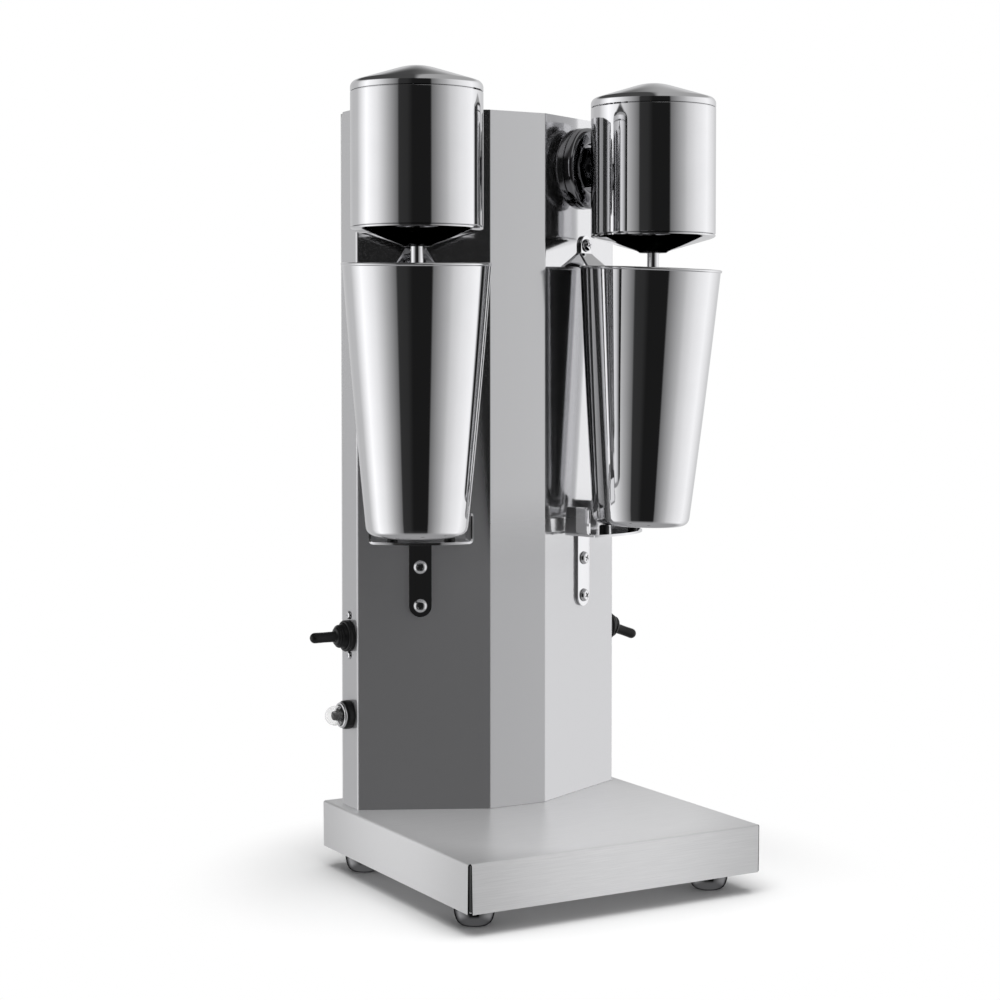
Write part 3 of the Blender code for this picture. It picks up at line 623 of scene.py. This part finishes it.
for side, hand in sides:
    place = panel_frame(hand) @ Matrix.Translation((0, -rim_reach, rim_height))
    place = place @ Matrix.Rotation(lean, 4, "X")
    beaker = made(turned(hung, 176), "beaker_" + side, place, 50, mirror)
    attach(beaker, side + "_cup")
    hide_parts("cup_" + side)

# Cup hooks
# A strip of steel screwed flat to the panel, bent out by 45 degrees and flared to a tab that
# stands inside the rim. The edges are rounded by polishing.
strip, strip_middle = 0.0016, 0.0011


def thicken(item):
    """Give a bent strip its thickness and its rounded edges."""
    wall = item.modifiers.new("sheet", "SOLIDIFY")
    wall.thickness = strip
    wall.offset = 0
    edge = item.modifiers.new("edge", "BEVEL")
    edge.width = 0.0005
    edge.segments = 3
    edge.limit_method = "ANGLE"
    edge.angle_limit = radians(50)


hook_half, hook_top = 0.00675, 0.42825
corner_z, corner_run, corner_bend = 0.41568, 0.00124, 0.003
tab_run, slope = 0.0165, 0.70711
stations = []
for k in range(10):
    drop = hook_half * (1 - cos(radians(10 * k)))
    half = hook_half * sin(radians(10 * k)) if k else 0.0004
    stations.append((strip_middle, hook_top - drop, half))
stations.append((strip_middle, corner_z + corner_run, hook_half))
for k in range(1, 7):
    a = radians(45 * k / 6)
    stations.append((strip_middle + corner_bend * (1 - cos(a)),
                     corner_z + corner_run - corner_bend * sin(a), hook_half + 0.0001 * k))
for k in range(1, 13):
    run = corner_run + (tab_run - corner_run) * k / 12
    half = 0.0072 + 0.0058 * min(1.0, k / 10.5) - (0.0022 if k == 12 else 0)
    stations.append((strip_middle + run * slope, corner_z - run * slope, half))
for side, hand in sides:
    bm = bmesh.new()
    rows = []
    for reach, z, half in stations:
        rows.append([bm.verts.new((half * (u - 6) / 6, -reach, z)) for u in range(13)])
    for upper, lower in zip(rows, rows[1:]):
        for u in range(12):
            bm.faces.new((upper[u], lower[u], lower[u + 1], upper[u + 1]))
    hook = made(bm, "hook_strip_" + side, panel_frame(hand), 40, mirror)
    thicken(hook)
    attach(hook, "stand")
    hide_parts("cup_hook_" + side)

# Cup rests
# The lower strip is bent out to a shelf with a bowed front and two upturned, flared ears, in the
# same polished steel as the hooks. Two dark studs on the shelf carry the cup.
rest_shift, rest_half, rest_bottom, rest_bend = 0.0028, 0.0075, 0.1731, 0.0030
level, flare = 0.2248, radians(8)
shelf_half, shelf_back, shelf_front = 0.0280, 0.0051, 0.0385
bow_depth, bow_half = 0.0095, 0.0342
bow = (bow_half ** 2 + bow_depth ** 2) / (2 * bow_depth)
ear_bend, ear_top, ear_back = 0.0020, 0.2412, 0.0060
stations = []
for k in range(10):
    rise = rest_half * (1 - cos(radians(10 * k)))
    half = rest_half * sin(radians(10 * k)) if k else 0.0004
    stations.append((strip_middle, rest_bottom + rise, half))
stations.append((strip_middle, level - rest_bend, rest_half))
for k in range(1, 7):
    a = radians(15 * k)
    stations.append((strip_middle + rest_bend * (1 - cos(a)),
                     level - rest_bend + rest_bend * sin(a), rest_half))
stations.append((0.0075, level, rest_half))
ear = []
for k in range(7):
    a = radians(15 * k)
    ear.append((ear_bend * sin(a), level + ear_bend * (1 - cos(a)), 0.0, 0.0232 - 0.0003 * k))
for k in range(1, 8):
    z = level + ear_bend + (ear_top - level - ear_bend) * k / 7
    ear.append((ear_bend, z, 0.0012 * k / 7, 0.0214))
for k in range(1, 6):
    a = radians(18 * k)
    ear.append((ear_bend, ear_top + 0.0025 * sin(a), 0.0012 + 0.0005 * k / 5,
                0.0189 + 0.0025 * cos(a)))
for side, hand in sides:
    bm = bmesh.new()
    rows = []
    for reach, z, half in stations:
        rows.append([bm.verts.new((half * (u - 4) / 4, -reach, z)) for u in range(9)])
    for upper, lower in zip(rows, rows[1:]):
        for u in range(8):
            bm.faces.new((upper[u], upper[u + 1], lower[u + 1], lower[u]))
    rows = []
    for u in range(25):
        share = u / 12 - 1
        front = shelf_front - bow + sqrt(bow ** 2 - (0.0325 * share) ** 2)
        row = []
        for v in range(9):
            reach = shelf_back + (front - shelf_back) * v / 8
            half = shelf_half + (reach - shelf_back) * tan(flare)
            row.append(bm.verts.new((share * half, -reach, level)))
        rows.append(row)
    for one, two in zip(rows, rows[1:]):
        for v in range(8):
            bm.faces.new((one[v], one[v + 1], two[v + 1], two[v]))
    for wing in (-1, 1):
        grid = []
        for out, z, back, front in ear:
            line = []
            for v in range(7):
                run = back + (front - back) * v / 6
                x = shelf_half + 0.0002 + run * sin(flare) + out * cos(flare)
                reach = ear_back + run * cos(flare) - out * sin(flare)
                line.append(bm.verts.new((wing * x, -reach, z)))
            grid.append(line)
        for lower, upper in zip(grid, grid[1:]):
            for v in range(6):
                corners = (lower[v], lower[v + 1], upper[v + 1], upper[v])
                bm.faces.new(corners if wing > 0 else corners[::-1])
    place = panel_frame(hand) @ Matrix.Translation((-hand * rest_shift, 0, 0))
    rest = made(bm, "rest_shelf_" + side, place, 40, mirror)
    thicken(rest)
    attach(rest, "stand")
    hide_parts("cup_rest_" + side)

rubber = bpy.data.materials.new("black_rubber")
rubber.use_nodes = True
nodes = rubber.node_tree.nodes
links = rubber.node_tree.links
shader = nodes["Principled BSDF"]
coords = nodes.new("ShaderNodeTexCoord")
grain = nodes.new("ShaderNodeTexNoise")
grain.inputs["Scale"].default_value = 900.0
tone = nodes.new("ShaderNodeValToRGB")
tone.color_ramp.elements[0].color = (0.003, 0.003, 0.0032, 1)
tone.color_ramp.elements[1].color = (0.008, 0.008, 0.0085, 1)
shader.inputs["Specular IOR Level"].default_value = 0.32
gloss = nodes.new("ShaderNodeMapRange")
gloss.inputs["To Min"].default_value = 0.26
gloss.inputs["To Max"].default_value = 0.38
bump = nodes.new("ShaderNodeBump")
bump.inputs["Strength"].default_value = 0.12
bump.inputs["Distance"].default_value = 0.0002
links.new(coords.outputs["Object"], grain.inputs["Vector"])
links.new(grain.outputs["Fac"], tone.inputs[0])
links.new(grain.outputs["Fac"], gloss.inputs["Value"])
links.new(grain.outputs["Fac"], bump.inputs["Height"])
links.new(tone.outputs[0], shader.inputs["Base Color"])
links.new(gloss.outputs[0], shader.inputs["Roughness"])
links.new(bump.outputs[0], shader.inputs["Normal"])
stud = [(0, 0.2257), (0.0034, 0.2257), (0.0034, 0.2306), (0.0031, 0.2313), (0.0022, 0.2318),
        (0, 0.2319)]
one_stud = made(turned(stud, 32), "one_stud", Matrix(), 40, None)
places = []
for hand in (-1, 1):
    for x in (-0.0185, 0.0185):
        spot = Matrix.Translation((x - hand * rest_shift, -0.0295, 0))
        places.append(panel_frame(hand) @ spot)
studs = spread("rest_studs", one_stud, places, 1.0, rubber)
bpy.data.objects.remove(one_stud)
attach(studs, "stand")

# Screws
# Domed screws with a cross recess hold the hooks and rests, smaller ones flank the switches, and
# six close the back cover. One head is turned and cut, then copied to each place.
screw = [(0.0, 0.0024), (0.0016, 0.00236), (0.0027, 0.0022), (0.0033, 0.0019), (0.0038, 0.0015),
         (0.0042, 0.0009), (0.0044, 0.0004), (0.0045, 0.0), (0.0019, 0.0), (0.0019, -0.0060),
         (0.0, -0.0060)]
blank = made(turned(screw, 40), "screw_blank", Matrix(), 30, None)
arm_long, arm_wide, taper = 0.0056, 0.0012, 0.6
bm = bmesh.new()
for wide, deep in ((arm_long, arm_wide), (arm_wide, arm_long)):
    block = bmesh.ops.create_cube(bm, size=1.0)["verts"]
    bmesh.ops.scale(bm, verts=block, vec=(wide, deep, 0.004))
    bmesh.ops.translate(bm, verts=block, vec=(0, 0, 0.0026))
    for vert in block:
        if vert.co.z < 0.002:
            vert.co.x *= taper
            vert.co.y *= taper
tool = made(bm, "cross_tool", Matrix(), 30, None)
cut = blank.modifiers.new("recess", "BOOLEAN")
cut.operation = "DIFFERENCE"
cut.use_self = True
cut.object = tool
graph = bpy.context.evaluated_depsgraph_get()
screw_mesh = bpy.data.meshes.new_from_object(blank.evaluated_get(graph))
bpy.data.objects.remove(blank)
bpy.data.objects.remove(tool)
screw_mesh.shade_smooth()
screw_mesh.set_sharp_from_angle(angle=radians(30))
one_screw = bpy.data.objects.new("one_screw", screw_mesh)
bpy.context.scene.collection.objects.link(one_screw)
switch_y = 0.07475
strap_places, strap_nodes, switch_places, cover_places = [], [], [], []
for side, hand in sides:
    outward = panel_frame(hand) @ Matrix.Translation((0, -0.0022, 0))
    outward = outward @ Matrix.Rotation(radians(90), 4, "X")
    for node, z, shift, twist in (("hook_screw", 0.4215, 0, 20),
                                  ("rest_screw_upper", 0.2063, rest_shift, 65),
                                  ("rest_screw_lower", 0.1806, rest_shift, 35)):
        strap_nodes.append(f"{node}_{side}")
        spot = outward @ Matrix.Translation((-hand * shift, z, 0))
        strap_places.append(spot @ Matrix.Rotation(radians(twist), 4, "Z"))
    sideways = Matrix.Rotation(hand * radians(90), 4, "Y")
    for z in (0.1732, 0.1465) if hand < 0 else (0.1674, 0.1407):
        switch_places.append(Matrix.Translation((hand * 0.1002, switch_y, z)) @ sideways)
    for twist, z in ((10, 0.065), (52, 0.275), (31, 0.485)):
        spot = Matrix.Translation((hand * 0.091, 0.0885, z)) @ Matrix.Rotation(radians(-90), 4, "X")
        cover_places.append(spot @ Matrix.Rotation(radians(twist), 4, "Z"))
for name, places, size, replaced in (("strap_screws", strap_places, 1.0, strap_nodes),
                                     ("switch_screws", switch_places, 0.62, []),
                                     ("cover_screws", cover_places, 0.8, [])):
    screws = spread(name, one_screw, places, size, mirror)
    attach(screws, "stand")
    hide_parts(*replaced)
bpy.data.objects.remove(one_screw)

# Spindles and agitators
# Ground steel shafts with a rounded end, seen between head and cup, and the wavy beater disc
# inside the cup, both in the mirror finish.
shaft = [(0, 0.5060), (0.0036, 0.5060), (0.0040, 0.5056), (0.0040, 0.2742), (0.0037, 0.2738),
         (0, 0.2738)]
for side, hand in sides:
    place = panel_frame(hand) @ Matrix.Translation((0, -spindle_reach, 0))
    spindle = made(turned(shaft, 64), "shaft_" + side, place, 30, mirror)
    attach(spindle, side + "_spindle")
    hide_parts("spindle_" + side)
    coat("agitator_" + side, mirror)

# Toggle switches
# A black rubber boot: a ribbed collar on the column, and a dome with a rounded lever that turns
# about the middle of the dome. The left lever stands out level, the right one is down.
collar = [(0.0089, 0.0003), (0.0104, 0.0003), (0.0104, 0.0014), (0.0101, 0.0017), (0.0101, 0.0021),
          (0.0104, 0.0024), (0.0104, 0.0036), (0.0101, 0.0042), (0.0095, 0.0045), (0.0089, 0.0045),
          (0.0089, 0.0003)]
ball = arc(0.0086, 0, 0, range(8, 29, 4))
tip = arc(0.0035, 0, 0.0222, range(10, 91, 10))
lever = [(0, 0.0012), *ball, (0.0073, 0.0043), (0.0073, 0.0046), (0.0077, 0.0049), (0.0076, 0.0054),
         (0.0072, 0.0061), (0.0066, 0.0065), (0.0063, 0.0064), (0.0061, 0.0066), (0.0061, 0.0070),
         (0.0056, 0.0075), (0.0047, 0.0078), (0.0041, 0.0079), (0.0037, 0.0082), (0.0035, 0.0089),
         (0.0034, 0.0160), (0.0035, 0.0220), *tip]
for side, hand, height, tilt in (("left", -1, 0.1595, 0), ("right", 1, 0.1537, 20)):
    seat = Matrix.Translation((hand * 0.100, switch_y, height))
    seat = seat @ Matrix.Rotation(hand * radians(90), 4, "Y")
    pivot = Matrix.Translation((hand * 0.103, switch_y, height))
    pivot = pivot @ Matrix.Rotation(hand * radians(90 + tilt), 4, "Y")
    for name, profile, place, body, node in (
            (f"boot_collar_{side}", collar, seat, "stand", f"switch_collar_{side}"),
            (f"boot_lever_{side}", lever, pivot, f"{side}_toggle", f"toggle_lever_{side}")):
        piece = made(turned(profile, 72), name, place, 45, rubber)
        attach(piece, body)
        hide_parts(node)

# Reset button
# A ridged black collar, a bright ring and a soft clear cap over a dark plunger, on the left side.
# The pieces are turned, and the ridges are pressed into the collar's edge.
clear_plastic = bpy.data.materials.new("clear_plastic")
clear_plastic.use_nodes = True
nodes = clear_plastic.node_tree.nodes
links = clear_plastic.node_tree.links
shader = nodes["Principled BSDF"]
shader.inputs["Transmission Weight"].default_value = 1.0
shader.inputs["IOR"].default_value = 1.42
coords = nodes.new("ShaderNodeTexCoord")
mist = nodes.new("ShaderNodeTexNoise")
mist.inputs["Scale"].default_value = 300.0
gloss = nodes.new("ShaderNodeMapRange")
gloss.inputs["To Min"].default_value = 0.03
gloss.inputs["To Max"].default_value = 0.14
tone = nodes.new("ShaderNodeValToRGB")
tone.color_ramp.elements[0].color = (0.90, 0.90, 0.90, 1)
tone.color_ramp.elements[1].color = (0.97, 0.97, 0.97, 1)
links.new(coords.outputs["Object"], mist.inputs["Vector"])
links.new(mist.outputs["Fac"], gloss.inputs["Value"])
links.new(mist.outputs["Fac"], tone.inputs[0])
links.new(tone.outputs[0], shader.inputs["Base Color"])
links.new(gloss.outputs[0], shader.inputs["Roughness"])
seat = Matrix.Translation((-0.100, switch_y, 0.1068)) @ Matrix.Rotation(radians(-90), 4, "Y")
ridged = [(0.0048, 0.0003), (0.0094, 0.0003), (0.0096, 0.0008), (0.0096, 0.0022), (0.0096, 0.0038),
          (0.0094, 0.0046), (0.0088, 0.0052), (0.0048, 0.0052), (0.0048, 0.0003)]
ring = [(0.0069, 0.0055), (0.0084, 0.0055), (0.0086, 0.0058), (0.0086, 0.0064), (0.0083, 0.0071),
        (0.0077, 0.0074), (0.0071, 0.0073), (0.0069, 0.0070), (0.0069, 0.0055)]
cap_out = arc(0.0065, 0, 0.0110, range(0, 91, 9))
cap_in = arc(0.0057, 0, 0.0110, range(90, -1, -9))
dome = [(0.0057, 0.0055), (0.0065, 0.0055), *cap_out, *cap_in, (0.0057, 0.0055)]
plunger = [(0, 0.0036), (0.0042, 0.0036), (0.0042, 0.0058), (0.0040, 0.0068), (0.0031, 0.0116),
           (0.0027, 0.0124), (0.0020, 0.0126), (0, 0.0126)]
ridges, ridge_from, ridge_depth = 24, 0.0095, 0.02
for name, profile, body, node, material, slot in (
        ("reset_ridged_collar", ridged, "stand", "reset_collar", rubber, "black_plastic"),
        ("reset_ring", ring, "stand", "reset_bezel", mirror, "polished_steel"),
        ("reset_dome", dome, "stand", "reset_cap", clear_plastic, "clear_plastic"),
        ("reset_plunger_cone", plunger, "reset_plunger", "reset_button", rubber, "dark_plastic")):
    bm = turned(profile, 96)
    if name == "reset_ridged_collar":
        for vert in bm.verts:
            if vert.co.xy.length > ridge_from:
                turn = Vector((1, 0)).angle_signed(vert.co.xy)
                vert.co.xy *= 1 - ridge_depth * (0.5 + 0.5 * cos(ridges * turn))
    piece = made(bm, name, seat, 45, material)
    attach(piece, body)
    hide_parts(node)

# Hidden pieces
# The motors' cores, windings, bearings and end plates, the switch bodies and the cable gland keep
# their shapes from the model and get plain technical finishes.
for title, first, second, metal, low_gloss, high_gloss, grain_scale, members in (
        ("core_iron", (0.10, 0.10, 0.11), (0.18, 0.18, 0.19), 1.0, 0.45, 0.6, (40, 40, 1600),
         ("motor_field",)),
        ("wound_copper", (0.30, 0.11, 0.04), (0.55, 0.24, 0.10), 1.0, 0.3, 0.5, (40, 40, 1800),
         ("armature",)),
        ("bearing_bronze", (0.45, 0.30, 0.14), (0.55, 0.38, 0.19), 1.0, 0.25, 0.4, (200, 200, 200),
         ("upper_bearing", "lower_bearing")),
        ("plate_steel", (0.42, 0.42, 0.43), (0.52, 0.52, 0.53), 1.0, 0.3, 0.45, (300, 20, 300),
         ("motor_end_plate",)),
        ("black_plastic", (0.010, 0.010, 0.011), (0.022, 0.022, 0.024), 0.0, 0.4, 0.55,
         (700, 700, 700), ("switch_body", "reset_body", "cable_gland"))):
    material = bpy.data.materials.new(title)
    material.use_nodes = True
    nodes = material.node_tree.nodes
    links = material.node_tree.links
    shader = nodes["Principled BSDF"]
    shader.inputs["Metallic"].default_value = metal
    coords = nodes.new("ShaderNodeTexCoord")
    stretch = nodes.new("ShaderNodeMapping")
    stretch.inputs["Scale"].default_value = grain_scale
    grain = nodes.new("ShaderNodeTexNoise")
    grain.inputs["Scale"].default_value = 1.0
    tone = nodes.new("ShaderNodeValToRGB")
    tone.color_ramp.elements[0].position = 0.35
    tone.color_ramp.elements[0].color = (*first, 1)
    tone.color_ramp.elements[1].position = 0.65
    tone.color_ramp.elements[1].color = (*second, 1)
    gloss = nodes.new("ShaderNodeMapRange")
    gloss.inputs["To Min"].default_value = low_gloss
    gloss.inputs["To Max"].default_value = high_gloss
    links.new(coords.outputs["Object"], stretch.inputs["Vector"])
    links.new(stretch.outputs[0], grain.inputs["Vector"])
    links.new(grain.outputs["Fac"], tone.inputs[0])
    links.new(grain.outputs["Fac"], gloss.inputs["Value"])
    links.new(tone.outputs[0], shader.inputs["Base Color"])
    links.new(gloss.outputs[0], shader.inputs["Roughness"])
    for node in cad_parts:
        if node.startswith(members):
            coat(node, material)
